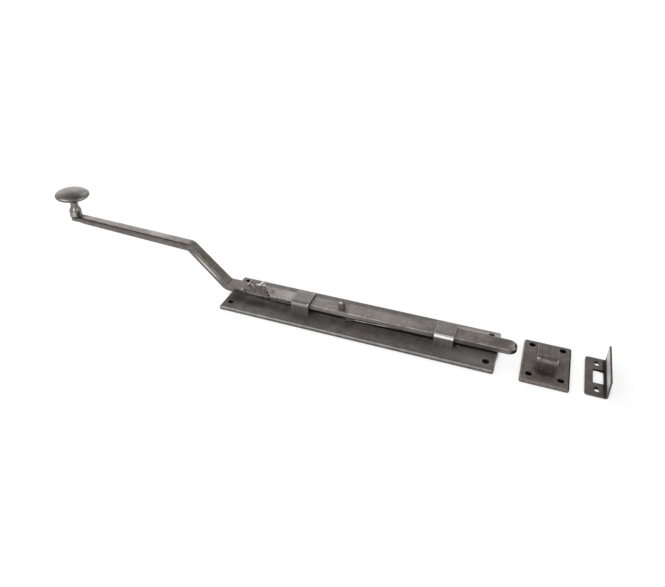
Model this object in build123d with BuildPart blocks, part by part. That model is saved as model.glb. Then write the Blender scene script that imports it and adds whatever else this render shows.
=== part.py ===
import os
from math import cos, radians, sin, tan

from build123d import *

os.makedirs("parts", exist_ok=True)

# French door bolt with a cranked handle, laid on its back, and its two keeps beyond the tip.
# X runs along the bolt towards its tip, Y runs across it, and Z points away from the door.
# The origin is the middle of the backplate's back face. All sizes are in millimetres.

# Backplate
plate_length = 332
plate_width = 68.6
plate_thickness = 4
plate_bevel = 1.3
plate_corner = 2
plate_screw_inset_x = 9.7
plate_screw_spacing_y = 47.8
plate_screw_offset_y = 2.6
screw_radius = 3.1
screw_rim = 0.4
screw_rim_angle = 90

# Guide straps, bent over the bar, with tenons through the plate
strap_width = 22.2
strap_thickness = 2.6
strap_bend = 5
strap_edge = 0.5
strap_rear_inset = 99.3
strap_front_inset = 58.7
strap_side_play = 2.3
strap_top_clearance = 0.3
tenon_width = 12
tenon_clearance = 0.05

# Sliding bar
bar_width = 19
bar_thickness = 6.4
bar_height = 10.4
bar_reach = 19.8
bar_edge = 0.6

# How far the bolt slides, from the photographed place
throw_forward = 29.2
throw_back = 33.4
stop_clearance = 0.3

# Stop pin
stop_pin_radius = 4.5
stop_pin_length = 7.3
stop_pin_shank_radius = 3
stop_pin_edge = 0.5
shank_clearance = 0.03

# Leaf spring and its rivet
spring_width = 17.6
spring_thickness = 0.9
spring_seat = 16
spring_run = 36
spring_drop = 1.3
spring_hook = 13
spring_toe = 4
spring_toe_rise = 1.2
spring_bend = 5
spring_from_pin = 72
spring_rivet_radius = 1.6
spring_rivet_head_radius = 3.2
spring_rivet_head = 1.2
running_gap = 0.3

# Weld knuckle between the bar and the crank
knuckle_length = 36.5
knuckle_slant = 16.5
knuckle_swell = 0.3
knuckle_crest = 4.9
knuckle_crest_run = 2
knuckle_chamfer = 2.4
knuckle_valley_near = (14.5, 1.7)
knuckle_valley_far = (9, 2.3)
knuckle_second_near = (24.5, 1.5)
knuckle_second_far = (16.5, 4.3)
knuckle_front_near = 0.7
knuckle_front_far = 1.3
chisel_depth = 0.6
chisel_grooves = (
    ((4.5, 1.7, 4.3), (11.6, -1.5, 2.1)),
    ((6.8, -2.4, 3.8), (12.6, -4.8, 2)),
    ((20.6, 9, 3.2), (21.8, 5.4, 2.9)),
    ((28.6, 1.6, 1.4), (31.4, -4.6, 1.2)),
)

# Cranked arm
crank_overhang = 5.5
crank_width = 18.4
crank_thickness = 5.8
crank_rise = 46.4
crank_angle = 43.8
crank_shoulder_width = 14.4
crank_shoulder_thickness = 9.4
arm_width = 12.6
arm_thickness = 10
arm_end_width = 10.8
arm_end_thickness = 8.2
arm_length = 175.6
arm_tilt = 2.3
arm_end_radius = 6.3
arm_edge = 0.9
arm_plan_blend = 12
bend_inside = 3
low_bend_outside = 16
high_bend_outside = 15

# Neck and knob
neck_foot_flat = 6.6
neck_block_flat = 6.9
neck_block_height = 8
neck_taper_height = 5.2
neck_radius = 5
neck_flare_radius = 7.4
neck_flare_height = 3
neck_height = 25.7
neck_tail_radius = 3
neck_tenon_length = 4
knob_length = 46.6
knob_width = 39.8
knob_dome = 7.2
knob_under = 4.9
knob_seat_radius = 8
socket_clearance = 0.05

# Keep plate and its staple
keep_gap = 6.7
keep_length = 50.2
keep_width = 69
keep_offset_y = -0.6
keep_screw_inset_x = 8.9
keep_screw_spacing_y = 49.8
keep_screw_offset_y = 1.4
staple_side_play = 2.8
staple_top_clearance = 1.1

# Angle keep
angle_gap = 14.9
angle_leg = 22.6
angle_width = 60
angle_thickness = 2
angle_offset_y = -0.7
angle_bend = 2.5
angle_corner = 3
angle_upright_corner = 1
angle_screw_inset_x = 12
angle_screw_spacing_y = 42
angle_slot_inset = 7.9
angle_slot_end_play = 1.5
angle_slot_side_play = 2.2

# Heights and places that follow from the sizes above
bar_top = bar_height + bar_thickness
strap_half = bar_width / 2 + strap_side_play + strap_thickness
strap_top = bar_top + strap_top_clearance + strap_thickness
strap_rear_x = -plate_length / 2 + strap_rear_inset
strap_front_x = plate_length / 2 - strap_front_inset
bar_tip_x = plate_length / 2 + bar_reach
stop_pin_x = strap_rear_x + strap_width / 2 + stop_clearance + throw_back + stop_pin_radius
knuckle_front_x = strap_rear_x - strap_width / 2 - stop_clearance - throw_forward
knuckle_back_x = knuckle_front_x - knuckle_length
knuckle_half = bar_width / 2 + knuckle_swell
spring_end_x = stop_pin_x + spring_from_pin
spring_rivet_x = spring_end_x - spring_seat / 2
crank_middle = bar_height + crank_thickness / 2
low_bend = Vector(-plate_length / 2 - crank_overhang, crank_middle)
high_bend = low_bend + Vector(-crank_rise / tan(radians(crank_angle)), crank_rise)
arm_along = Vector(-cos(radians(arm_tilt)), sin(radians(arm_tilt)))
neck_foot = high_bend + arm_along * arm_length
keep_x = bar_tip_x + keep_gap + keep_length / 2
staple_half = bar_width / 2 + staple_side_play + strap_thickness
staple_top = bar_top + staple_top_clearance + strap_thickness
angle_left_x = keep_x + keep_length / 2 + angle_gap


def finish(part, label):
    part.label = label
    export_step(part, f"parts/{label}.step")


def scarf_x(y):
    """X of the slanted joint between bar and knuckle at a given Y."""
    return knuckle_front_x - knuckle_slant * (y + bar_width / 2) / bar_width


def screw_plate(length, width, x_mid, y_mid, inset_x, spacing_y, screws_y):
    """Bevelled plate with a screw hole near each corner."""
    with BuildPart() as plate:
        with BuildSketch(Plane.XY):
            with Locations((x_mid, y_mid)):
                RectangleRounded(length, width, plate_corner)
        extrude(amount=plate_thickness)
        chamfer(plate.faces().sort_by(Axis.Z)[-1].edges(), plate_bevel)
        with Locations((x_mid, y_mid + screws_y, plate_thickness)):
            with GridLocations(length - 2 * inset_x, spacing_y, 2, 2):
                CounterSinkHole(screw_radius, screw_radius + screw_rim, counter_sink_angle=screw_rim_angle)
    return plate.part


def tenon_plan(x_mid, y_mid, half, clearance):
    """The two tenons of a bridge, or with a clearance the slots that take them."""
    foot_y = half - strap_thickness / 2
    with BuildSketch(Plane.XY) as plan:
        with Locations((x_mid, y_mid - foot_y), (x_mid, y_mid + foot_y)):
            Rectangle(tenon_width + 2 * clearance, strap_thickness + 2 * clearance)
    return plan.sketch


def bridge(x_mid, y_mid, half, top):
    """Strap bent over the bar, its feet on the plate and its tenons through it."""
    with BuildPart() as strap:
        for reach, height, bend, mode in (
            (half, top, strap_bend, Mode.ADD),
            (half - strap_thickness, top - strap_thickness, strap_bend - strap_thickness, Mode.SUBTRACT),
        ):
            with BuildSketch(Plane.YZ.offset(x_mid - strap_width / 2)) as section:
                with Locations((y_mid, (plate_thickness + height) / 2)):
                    Rectangle(2 * reach, height - plate_thickness)
                fillet(section.vertices().group_by(Axis.Y)[-1], bend)
            extrude(amount=strap_width, mode=mode)
        end_faces = strap.faces().filter_by(Axis.X)
        worn_edges = end_faces.edges() - strap.faces().sort_by(Axis.Z)[0].edges()
        fillet(worn_edges.sort_by(Axis.Z), strap_edge)
        extrude(tenon_plan(x_mid, y_mid, half, 0), amount=plate_thickness)
    return strap.part


# Backplate with its guide straps
with BuildPart() as backplate:
    add(
        screw_plate(
            length=plate_length,
            width=plate_width,
            x_mid=0,
            y_mid=0,
            inset_x=plate_screw_inset_x,
            spacing_y=plate_screw_spacing_y,
            screws_y=plate_screw_offset_y,
        )
    )
    for strap_x in (strap_rear_x, strap_front_x):
        slots = tenon_plan(strap_x, 0, strap_half, tenon_clearance)
        extrude(slots, amount=plate_thickness, mode=Mode.SUBTRACT)
finish(backplate.part, "backplate")
finish(bridge(strap_rear_x, 0, strap_half, strap_top), "strap_rear")
finish(bridge(strap_front_x, 0, strap_half, strap_top), "strap_front")

# Keep plate with its staple
with BuildPart() as keep_plate:
    add(
        screw_plate(
            length=keep_length,
            width=keep_width,
            x_mid=keep_x,
            y_mid=keep_offset_y,
            inset_x=keep_screw_inset_x,
            spacing_y=keep_screw_spacing_y,
            screws_y=keep_screw_offset_y,
        )
    )
    slots = tenon_plan(keep_x, keep_offset_y, staple_half, tenon_clearance)
    extrude(slots, amount=plate_thickness, mode=Mode.SUBTRACT)
finish(keep_plate.part, "keep_plate")
finish(bridge(keep_x, keep_offset_y, staple_half, staple_top), "keep_staple")

# Angle keep: a bent plate with a slot for the bar and a screw hole on either side of it
with BuildPart() as angle_keep:
    with BuildSketch(Plane.XZ.offset(-angle_offset_y)) as angle_section:
        with Locations((angle_left_x, 0)):
            Rectangle(angle_leg, angle_thickness, align=(Align.MIN, Align.MIN))
        with Locations((angle_left_x + angle_leg, 0)):
            Rectangle(angle_thickness, angle_leg, align=(Align.MAX, Align.MIN))
        outer_corner = angle_section.vertices().sort_by_distance((angle_left_x + angle_leg, 0))[0]
        fillet(outer_corner, angle_bend)
        inner_corner = (angle_left_x + angle_leg - angle_thickness, angle_thickness)
        fillet(angle_section.vertices().sort_by_distance(inner_corner)[0], angle_bend - angle_thickness)
    extrude(amount=angle_width / 2, both=True)
    flat_corners = angle_keep.edges().filter_by(Axis.Z).group_by(Axis.X)[0]
    fillet(flat_corners, angle_corner)
    upright_corners = angle_keep.edges().filter_by(Axis.X).group_by(Axis.Z)[-1]
    fillet(upright_corners, angle_upright_corner)
    with BuildSketch(Plane.XY):
        slot_length = bar_width + 2 * angle_slot_end_play
        slot_width = bar_thickness + 2 * angle_slot_side_play
        with Locations((angle_left_x + angle_slot_inset + slot_width / 2, angle_offset_y)):
            Rectangle(slot_width, slot_length)
    extrude(amount=angle_thickness, mode=Mode.SUBTRACT)
    with Locations((angle_left_x + angle_screw_inset_x, angle_offset_y, angle_thickness)):
        with GridLocations(0, angle_screw_spacing_y, 1, 2):
            CounterSinkHole(screw_radius, screw_radius + screw_rim, counter_sink_angle=screw_rim_angle)
finish(angle_keep.part, "angle_keep")

# Sliding bar: half-round tip, slanted rear end against the knuckle
with BuildPart() as bolt_bar:
    with BuildSketch(Plane.XY.offset(bar_height)) as bar_plan:
        with BuildLine():
            rear_far = (scarf_x(bar_width / 2), bar_width / 2)
            rear_near = (scarf_x(-bar_width / 2), -bar_width / 2)
            tip_near = (bar_tip_x - bar_width / 2, -bar_width / 2)
            tip_far = (bar_tip_x - bar_width / 2, bar_width / 2)
            Polyline(tip_far, rear_far, rear_near, tip_near)
            ThreePointArc(tip_near, (bar_tip_x, 0), tip_far)
        make_face()
    extrude(amount=bar_thickness)
    long_edges = bolt_bar.edges().filter_by(Axis.X) + bolt_bar.edges().filter_by(GeomType.CIRCLE)
    chamfer(long_edges, bar_edge)
    with Locations((stop_pin_x, 0, bar_height)):
        Hole(stop_pin_shank_radius + shank_clearance)
    with Locations((spring_rivet_x, 0, bar_height)):
        Hole(spring_rivet_radius + shank_clearance)
finish(bolt_bar.part, "bolt_bar")

# Stop pin: its shank is riveted through the bar
with BuildPart() as stop_pin:
    with BuildSketch(Plane.XY.offset(bar_height)):
        with Locations((stop_pin_x, 0)):
            Circle(stop_pin_shank_radius)
    extrude(amount=bar_thickness)
    with BuildSketch(Plane.XY.offset(bar_top)):
        with Locations((stop_pin_x, 0)):
            Circle(stop_pin_radius)
    extrude(amount=stop_pin_length)
    chamfer(stop_pin.edges().group_by(Axis.Z)[-1], stop_pin_edge)
finish(stop_pin.part, "stop_pin")

# Leaf spring: riveted flat under the bar, then falling to a toe that rides on the plate
with BuildPart() as leaf_spring:
    with BuildSketch(Plane.XZ):
        with BuildLine() as leaf_path:
            leaf_top = bar_height - spring_thickness / 2
            toe_height = plate_thickness + running_gap + spring_thickness / 2
            seat_x = spring_end_x - spring_seat
            hook_x = seat_x - spring_run
            toe_x = hook_x - spring_hook
            FilletPolyline(
                (spring_end_x, leaf_top),
                (seat_x, leaf_top),
                (hook_x, leaf_top - spring_drop),
                (toe_x, toe_height),
                (toe_x - spring_toe, toe_height + spring_toe_rise),
                radius=spring_bend,
            )
        trace(leaf_path.line, line_width=spring_thickness)
    extrude(amount=spring_width / 2, both=True)
    with Locations((spring_rivet_x, 0, bar_height)):
        Hole(spring_rivet_radius + shank_clearance)
finish(leaf_spring.part, "leaf_spring")

# Spring rivet: round head under the leaf, tail flush with the bar's top
with BuildPart() as spring_rivet:
    with BuildSketch(Plane.XY.offset(bar_top)):
        with Locations((spring_rivet_x, 0)):
            Circle(spring_rivet_radius)
    extrude(amount=-bar_thickness - spring_thickness)
    with BuildSketch(Plane.XY.offset(bar_height - spring_thickness)):
        with Locations((spring_rivet_x, 0)):
            Circle(spring_rivet_head_radius)
    extrude(amount=-spring_rivet_head)
    fillet(spring_rivet.edges().group_by(Axis.Z)[0], spring_rivet_head / 2)
finish(spring_rivet.part, "spring_rivet")


def on_knuckle(along, above):
    """Point of the knuckle's side outline, from its rear end and above the bar's top."""
    return (knuckle_back_x + along, bar_top + above)


def knuckle_side(y, valley, second_crest, front_height):
    """One side of the knuckle: a tall crest, a valley, a second crest and the slanted front."""
    with BuildSketch(Plane.XZ.offset(-y)) as side:
        with BuildLine():
            Polyline(
                (knuckle_back_x, bar_height),
                (knuckle_back_x, bar_top),
                on_knuckle(knuckle_crest_run, knuckle_crest),
                on_knuckle(*valley),
                on_knuckle(*second_crest),
                (scarf_x(y), bar_top + front_height),
                (scarf_x(y), bar_height),
                close=True,
            )
        make_face()
    return side.sketch


def chisel_wedge(start, end):
    """Wedge that cuts a V-shaped groove between two points on the knuckle's top."""
    groove_point = Vector(knuckle_back_x, 0, bar_top) + Vector(*start)
    along = Vector(*end) - Vector(*start)
    across = Vector(0, 0, 1).cross(along)
    left_lip = (-2 * chisel_depth, chisel_depth)
    right_lip = (2 * chisel_depth, chisel_depth)
    with BuildPart() as wedge:
        with BuildSketch(Plane(origin=groove_point, x_dir=across, z_dir=along)):
            Polygon(left_lip, right_lip, (0, -chisel_depth), align=None)
        extrude(amount=along.length)
    return wedge.part


# Weld knuckle: faceted lump that joins the bar to the crank
with BuildPart() as weld_knuckle:
    near_side = knuckle_side(-knuckle_half, knuckle_valley_near, knuckle_second_near, knuckle_front_near)
    far_side = knuckle_side(knuckle_half, knuckle_valley_far, knuckle_second_far, knuckle_front_far)
    loft([near_side, far_side], ruled=True)
    low_edges = weld_knuckle.edges().group_by(Axis.Z)[0].filter_by(Axis.X)
    chamfer(low_edges, knuckle_chamfer)
    for groove_start, groove_end in chisel_grooves:
        add(chisel_wedge(groove_start, groove_end), mode=Mode.SUBTRACT)
finish(weld_knuckle.part, "weld_knuckle")


def mitred_sides(points, halves):
    """Both outlines of a bent bar, from its middle line and its half thickness at each point."""
    above = []
    below = []
    for index, (point, half) in enumerate(zip(points, halves)):
        runs = []
        if index > 0:
            runs.append((point - points[index - 1]).normalized())
        if index < len(points) - 1:
            runs.append((points[index + 1] - point).normalized())
        normals = [Vector(run.Y, -run.X) for run in runs]
        mitre = (normals[0] + normals[-1]) * (half / (1 + normals[0].dot(normals[-1])))
        above.append(point + mitre)
        below.append(point - mitre)
    return above, below


arm_end = neck_foot + arm_along * arm_end_radius
middle_line = [Vector(knuckle_back_x, crank_middle), low_bend, high_bend, arm_end]
thicknesses = [crank_thickness, crank_shoulder_thickness, arm_thickness, arm_end_thickness]
upper_line, lower_line = mitred_sides(middle_line, [thickness / 2 for thickness in thicknesses])

# The neck and the knob stand square to the arm, on a plane at its top face
along_top = (upper_line[2] - upper_line[3]).normalized()
seat_point = upper_line[3] + along_top * arm_end_radius
seat = Plane(
    origin=(seat_point.X, 0, seat_point.Y),
    x_dir=(along_top.X, 0, along_top.Y),
    z_dir=(-along_top.Y, 0, along_top.X),
)

# Cranked arm: flat bar at the plate, drawn narrower and thicker above the low bend
with BuildPart() as crank_arm:
    with BuildSketch(Plane.XZ) as arm_side:
        with BuildLine():
            Polyline(*upper_line, *reversed(lower_line), close=True)
        make_face()
        for corner, radius in (
            (upper_line[1], bend_inside),
            (lower_line[1], low_bend_outside),
            (upper_line[2], high_bend_outside),
            (lower_line[2], bend_inside),
        ):
            fillet(arm_side.vertices().sort_by_distance(corner)[0], radius)
    extrude(amount=bar_width, both=True)
    with BuildSketch(Plane.XY) as arm_plan:
        with BuildLine():
            shoulder_x = low_bend.X - arm_thickness
            edge_points = [
                (knuckle_back_x, crank_width / 2),
                (low_bend.X + arm_thickness, crank_width / 2),
                (shoulder_x, crank_shoulder_width / 2),
                (high_bend.X, arm_width / 2),
                (neck_foot.X, arm_end_width / 2),
            ]
            Polyline(*edge_points, *[(x, -y) for x, y in reversed(edge_points)], close=True)
        make_face()
        with Locations((neck_foot.X, 0)):
            Circle(arm_end_radius)
        fillet(arm_plan.vertices().group_by(Axis.X)[:-1], arm_plan_blend)
    extrude(amount=neck_foot.Y + arm_thickness, mode=Mode.INTERSECT)
    worn_edges = crank_arm.edges() - crank_arm.faces().sort_by(Axis.X)[-1].edges()
    fillet(worn_edges.sort_by(Axis.X), arm_edge)
    with Locations(seat):
        Hole(neck_tail_radius + shank_clearance)
finish(crank_arm.part, "crank_arm")

# Knob neck: eight-sided foot, tapered facets, round neck, flare, with a tail riveted through the arm
with BuildPart() as knob_neck:
    with BuildSketch(seat.offset(-arm_end_thickness)):
        Circle(neck_tail_radius)
    extrude(amount=arm_end_thickness)
    with BuildSketch(seat):
        RegularPolygon(neck_foot_flat, 8, major_radius=False)
    with BuildSketch(seat.offset(neck_block_height)):
        RegularPolygon(neck_block_flat, 8, major_radius=False)
    loft()
    with BuildSketch(seat.offset(neck_block_height)):
        RegularPolygon(neck_block_flat, 8, major_radius=False)
    with BuildSketch(seat.offset(neck_block_height + neck_taper_height)):
        RegularPolygon(neck_radius, 8, major_radius=False)
    loft()
    with BuildSketch(seat.offset(neck_block_height + neck_taper_height)):
        Circle(neck_radius)
    extrude(amount=neck_height - neck_flare_height - neck_block_height - neck_taper_height)
    with BuildSketch(seat.offset(neck_height - neck_flare_height)):
        Circle(neck_radius)
    with BuildSketch(seat.offset(neck_height)):
        Circle(neck_flare_radius)
    loft()
    with BuildSketch(seat.offset(neck_height)):
        Circle(neck_tail_radius)
    extrude(amount=neck_tenon_length)
finish(knob_neck.part, "knob_neck")

# Knob: oval dome over a shallower underside, with a socket for the neck's tenon
knob_seat = seat.offset(neck_height)
with BuildPart() as knob:
    with BuildSketch(Plane(origin=knob_seat.origin, x_dir=knob_seat.x_dir, z_dir=(0, -1, 0))):
        with BuildLine():
            rim = knob_width / 2
            Line((0, knob_under + knob_dome), (0, 0))
            Line((0, 0), (knob_seat_radius, 0))
            TangentArc((knob_seat_radius, 0), (rim, knob_under), tangent=(1, 0))
            EllipticalCenterArc((0, knob_under), rim, knob_dome, start_angle=0, arc_size=90)
        make_face()
    revolve(axis=Axis(knob_seat.origin, knob_seat.z_dir))
    scale(by=(knob_length / knob_width, 1, 1), about=knob_seat.origin)
    split(bisect_by=knob_seat, keep=Keep.TOP)
    with BuildSketch(knob_seat):
        Circle(neck_tail_radius + socket_clearance)
    extrude(amount=neck_tenon_length + socket_clearance, mode=Mode.SUBTRACT)
finish(knob.part, "knob")
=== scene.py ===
import random
from math import atan2, cos, degrees, radians, sin, sqrt, tan

import bpy
from mathutils import Matrix, Vector


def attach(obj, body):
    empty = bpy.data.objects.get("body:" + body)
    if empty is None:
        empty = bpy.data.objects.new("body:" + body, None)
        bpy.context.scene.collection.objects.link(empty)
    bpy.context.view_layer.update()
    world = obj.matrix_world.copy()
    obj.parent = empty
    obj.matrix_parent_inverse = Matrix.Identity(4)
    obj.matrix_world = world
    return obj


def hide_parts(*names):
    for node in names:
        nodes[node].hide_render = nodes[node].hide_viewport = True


# French door bolt in waxed, hand-finished steel, with a cranked handle and two keeps.
# X runs along the bolt towards its tip, Z away from the door, from the middle of the backplate's back.
# Sizes are in millimetres, times mm for Blender's metres, unless a note says otherwise.

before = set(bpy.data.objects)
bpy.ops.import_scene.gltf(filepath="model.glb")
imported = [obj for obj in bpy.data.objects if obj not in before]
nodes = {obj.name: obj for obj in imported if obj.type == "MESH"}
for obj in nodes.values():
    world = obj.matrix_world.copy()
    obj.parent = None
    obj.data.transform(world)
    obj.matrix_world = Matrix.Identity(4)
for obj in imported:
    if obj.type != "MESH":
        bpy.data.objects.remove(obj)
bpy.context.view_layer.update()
mm = 0.001
touch = 0.01  # points closer than this are the same place
bpy.ops.object.select_all(action="DESELECT")
print("frame loaded:", len(nodes), "nodes")

# Camera, standing where the photograph was taken from
camera = {
    "place": (0.176614, -0.5616, 0.46217),  # metres
    "pitch": 30.231,  # degrees below level
    "yaw": -21.127,  # degrees from +Y, towards +X when positive
    "roll": -0.358,
    "lens": 33.441,
    "sensor": 36,
    "shiftX": 0.01343,
    "shiftY": -0.08739,
    "nearest": 0.01,  # metres
}


def addCamera(facts):
    pitch, yaw, roll = (radians(facts[key]) for key in ("pitch", "yaw", "roll"))
    ahead = Vector((sin(yaw) * cos(pitch), cos(yaw) * cos(pitch), -sin(pitch)))
    level = Vector((cos(yaw), -sin(yaw), 0))
    upright = level.cross(ahead)
    right = level * cos(roll) + upright * sin(roll)
    up = upright * cos(roll) - level * sin(roll)
    bpy.ops.object.camera_add(location=facts["place"])
    cam = bpy.context.object
    cam.name = "photoCamera"
    cam.rotation_euler = Matrix((right, up, -ahead)).transposed().to_euler()
    cam.data.lens = facts["lens"]
    cam.data.sensor_width = facts["sensor"]
    cam.data.shift_x = facts["shiftX"]
    cam.data.shift_y = facts["shiftY"]
    cam.data.clip_start = facts["nearest"]
    bpy.context.scene.camera = cam


addCamera(camera)
bpy.context.scene.view_settings.view_transform = "Standard"
print("camera placed")


def linearColour(hexCode):  # sRGB hex to the linear colour that Blender works in
    channels = [int(hexCode[i:i + 2], 16) / 255 for i in (0, 2, 4)]
    return [c / 12.92 if c <= 0.04045 else ((c + 0.055) / 1.055) ** 2.4 for c in channels] + [1]


# Inputs go by name, or by number where names repeat: Map Range turns the span 1 to 2 into 3 to 4,
# and Mix goes by 0 from 6 to 7 for colours and from 2 to 3 for numbers
def addNode(tree, kind, settings=None, links=None):
    node = tree.nodes.new(kind)
    for key, value in (settings or {}).items():
        if isinstance(key, int) or key in node.inputs:
            node.inputs[key].default_value = value
        else:
            setattr(node, key, value)
    for key, source in (links or {}).items():
        tree.links.new(source, node.inputs[key])
    return node


def emptyMaterial(name):
    material = bpy.data.materials.new(name)
    material.use_nodes = True
    material.node_tree.nodes.clear()
    return material, material.node_tree


# How all the steel here has aged. A span holds two noise values, between which one look turns to the next.
ageing = {
    "patchSpan": (0.36, 0.64),  # from dark steel to light
    "oxideScale": 0.6,  # under 1, so that oxide lies in larger patches than the steel's own
    "oxideSpan": (0.45, 0.7),
    "shadeSpan": (0.3, 0.7),  # of streaks along the grain, and of specks
    "satinSpan": (0.35, 0.65),  # from smoother stretches to rougher
    "wornTurn": (0.995, 0.92),  # cosines of an edge's turn, from untouched to worn
    "wornSpan": (0.3, 0.55),
    "gapSpan": (0.44, 0.56),  # where a broken mark stops and starts
    "facingFade": 0.08,  # cosine over which a mark fades off faces that turn away
}


def steelNoises(tree, coords, look):
    patches = addNode(tree, "ShaderNodeTexNoise",
                      {"Scale": 1 / (look["patch"] * mm), "Detail": 6, "Roughness": 0.7},
                      {"Vector": coords}).outputs["Fac"]
    spread = [1 / (size * mm) for size in look["grain"]]
    grainCoords = addNode(tree, "ShaderNodeMapping", {"Scale": spread}, {"Vector": coords}).outputs["Vector"]
    grain = addNode(tree, "ShaderNodeTexNoise", {"Scale": 1, "Detail": 4, "Roughness": 0.65},
                    {"Vector": grainCoords}).outputs["Fac"]
    fleck = addNode(tree, "ShaderNodeTexNoise",
                    {"Scale": 1 / (look["fleck"] * mm), "Detail": 3, "Roughness": 0.6},
                    {"Vector": coords}).outputs["Fac"]
    dents = addNode(tree, "ShaderNodeTexNoise",
                    {"Scale": 1 / (look["dent"] * mm), "Detail": 1, "Roughness": 0.4},
                    {"Vector": coords}).outputs["Fac"]
    return patches, grain, fleck, dents


def steelGround(tree, coords, look, patches, grain, fleck):  # dark and light steel, oxide, streaks, specks
    low, high = ageing["patchSpan"]
    patchMask = addNode(tree, "ShaderNodeMapRange", {1: low, 2: high}, {0: patches}).outputs[0]
    ground = addNode(tree, "ShaderNodeMix",
                     {"data_type": "RGBA", 6: linearColour(look["dark"]), 7: linearColour(look["light"])},
                     {0: patchMask}).outputs[2]
    oxideNoise = addNode(tree, "ShaderNodeTexNoise",
                         {"noise_dimensions": "4D", "W": 4, "Detail": 4,
                          "Scale": ageing["oxideScale"] / (look["patch"] * mm)},
                         {"Vector": coords}).outputs["Fac"]
    low, high = ageing["oxideSpan"]
    oxideMask = addNode(tree, "ShaderNodeMapRange", {1: low, 2: high, 4: look["oxideShare"]},
                        {0: oxideNoise}).outputs[0]
    colour = addNode(tree, "ShaderNodeMix", {"data_type": "RGBA", 7: linearColour(look["oxide"])},
                     {0: oxideMask, 6: ground}).outputs[2]
    low, high = ageing["shadeSpan"]
    streak = addNode(tree, "ShaderNodeMapRange",
                     {1: low, 2: high, 3: 1 - look["streak"], 4: 1 + look["streak"]}, {0: grain}).outputs[0]
    speck = addNode(tree, "ShaderNodeMapRange",
                    {1: low, 2: high, 3: 1 - look["speck"], 4: 1 + look["speck"]}, {0: fleck}).outputs[0]
    shade = addNode(tree, "ShaderNodeMath", {"operation": "MULTIPLY"}, {0: streak, 1: speck}).outputs[0]
    return addNode(tree, "ShaderNodeVectorMath", {"operation": "SCALE"},
                   {0: colour, "Scale": shade}).outputs[0]


def wearEdges(tree, look, colour, rounded, fleck):  # worn edges show brighter metal, in patches
    trueNormal = addNode(tree, "ShaderNodeNewGeometry").outputs["Normal"]
    turn = addNode(tree, "ShaderNodeVectorMath", {"operation": "DOT_PRODUCT"},
                   {0: rounded, 1: trueNormal}).outputs[1]
    untouched, worn = ageing["wornTurn"]
    edgeMask = addNode(tree, "ShaderNodeMapRange", {1: untouched, 2: worn, 4: look["wear"]},
                       {0: turn}).outputs[0]
    low, high = ageing["wornSpan"]
    edgePatch = addNode(tree, "ShaderNodeMapRange", {1: low, 2: high}, {0: fleck}).outputs[0]
    edgeMask = addNode(tree, "ShaderNodeMath", {"operation": "MULTIPLY"},
                       {0: edgeMask, 1: edgePatch}).outputs[0]
    return addNode(tree, "ShaderNodeMix", {"data_type": "RGBA", 7: linearColour(look["bright"])},
                   {0: edgeMask, 6: colour}).outputs[2]


def markMask(tree, spot, place, ragged, patches):  # 0 off the mark, up to its share on it
    local = addNode(tree, "ShaderNodeMapping",
                    {"vector_type": "TEXTURE", "Location": Vector(spot["at"]) * mm,
                     "Rotation": [radians(angle) for angle in spot["turn"]],
                     "Scale": Vector(spot["reach"]) * mm},
                    {"Vector": place.outputs["Object"]}).outputs[0]
    away = addNode(tree, "ShaderNodeVectorMath", {"operation": "LENGTH"}, {0: local}).outputs["Value"]
    away = addNode(tree, "ShaderNodeMath", {"operation": "MULTIPLY_ADD", 1: spot["ragged"]},
                   {0: ragged, 2: away}).outputs[0]
    mask = addNode(tree, "ShaderNodeMapRange",
                   {"interpolation_type": "SMOOTHSTEP", 1: 1.0, 2: 1 - spot["soft"], 4: spot["share"]},
                   {0: away}).outputs[0]
    if "toward" in spot:
        facing = addNode(tree, "ShaderNodeVectorMath",
                         {"operation": "DOT_PRODUCT", 1: Vector(spot["toward"]).normalized()},
                         {0: place.outputs["Normal"]}).outputs["Value"]
        facing = addNode(tree, "ShaderNodeMapRange",
                         {1: spot["facing"] - ageing["facingFade"], 2: spot["facing"]},
                         {0: facing}).outputs[0]
        mask = addNode(tree, "ShaderNodeMath", {"operation": "MULTIPLY"}, {0: mask, 1: facing}).outputs[0]
    if "broken" in spot:
        low, high = ageing["gapSpan"]
        gaps = addNode(tree, "ShaderNodeMapRange", {1: low, 2: high, 3: 1 - spot["broken"]},
                       {0: patches}).outputs[0]
        mask = addNode(tree, "ShaderNodeMath", {"operation": "MULTIPLY"}, {0: mask, 1: gaps}).outputs[0]
    return mask


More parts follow.
